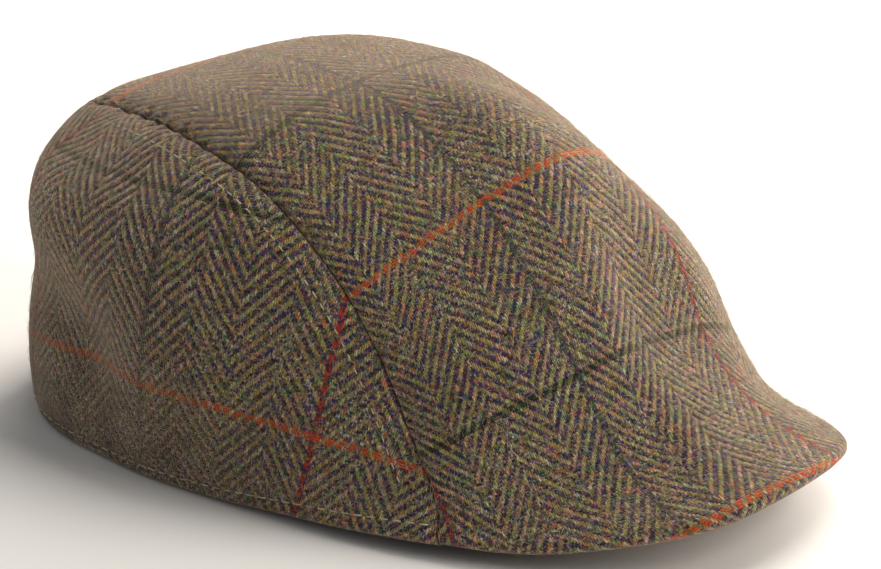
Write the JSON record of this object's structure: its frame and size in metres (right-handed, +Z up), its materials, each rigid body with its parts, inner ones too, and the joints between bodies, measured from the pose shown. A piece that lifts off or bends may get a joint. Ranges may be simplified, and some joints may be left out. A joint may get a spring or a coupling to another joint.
{
  "type": "flat cap",
  "caption": "Duckbill flat cap of herringbone tweed: one wide top panel over a short stiff peak, and two side panels round an open hollow for the head.",
  "frame": {"origin": "on the floor under the middle of the cap's box, where the cap stands on its rim", "axes": "+Z up, -Y towards the tip of the peak, -X towards the wearer's right"},
  "size_m": [0.167, 0.2636, 0.1121],
  "materials": {
    "tweed": "matte woven wool, herringbone with an overcheck",
    "under_peak_tweed": "matte woven wool"
  },
  "bodies": {
    "root": {"top_panel": "tweed", "side_panel_right": "tweed", "side_panel_left": "tweed", "peak": "under_peak_tweed"}
  },
  "joints": []
}
